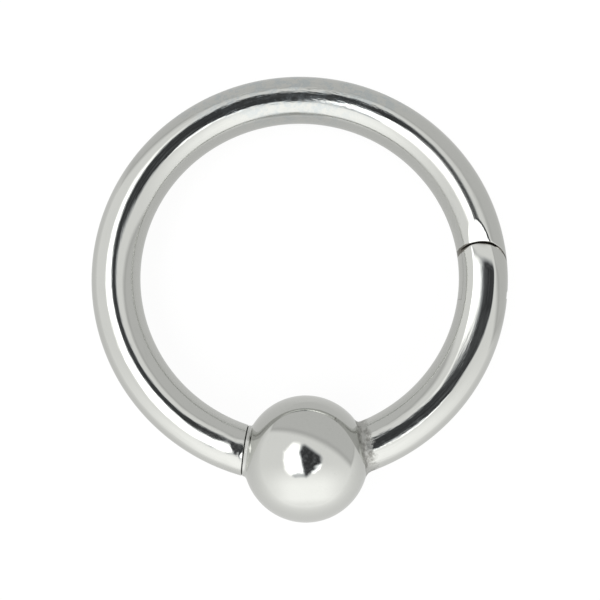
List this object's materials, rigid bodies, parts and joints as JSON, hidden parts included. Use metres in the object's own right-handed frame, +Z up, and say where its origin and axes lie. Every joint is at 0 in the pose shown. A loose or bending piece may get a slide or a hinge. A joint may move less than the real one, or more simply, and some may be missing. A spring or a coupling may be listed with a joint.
{
  "type": "hinged captive bead ring",
  "caption": "Round wire body ring that opens on a small hinge, with a fixed round bead on the swinging segment closing the hoop.",
  "frame": {"origin": "on the ground, under the middle of the ring's box as it lies on its side", "axes": "+Z up; the bead is towards -Y, the hinge towards +X; the ring's own axis leans 5.6 degrees from +Z towards +Y"},
  "size_m": [0.0104, 0.0112, 0.003],
  "materials": {
    "polished_steel": "mirror polish",
    "pin_steel": "ground flush and polished"
  },
  "bodies": {
    "hoop_body": {"hoop": "polished_steel"},
    "segment_body": {"bead_segment": "polished_steel", "hinge_pin": "pin_steel"}
  },
  "joints": [
    {"name": "segment_hinge", "type": "hinge", "parent": "hoop_body", "child": "segment_body", "pos_m": [0.00446, 0.00014, 0.00108], "axis": [0, 0.0978, 0.9952], "range_deg": [0, 65]}
  ]
}
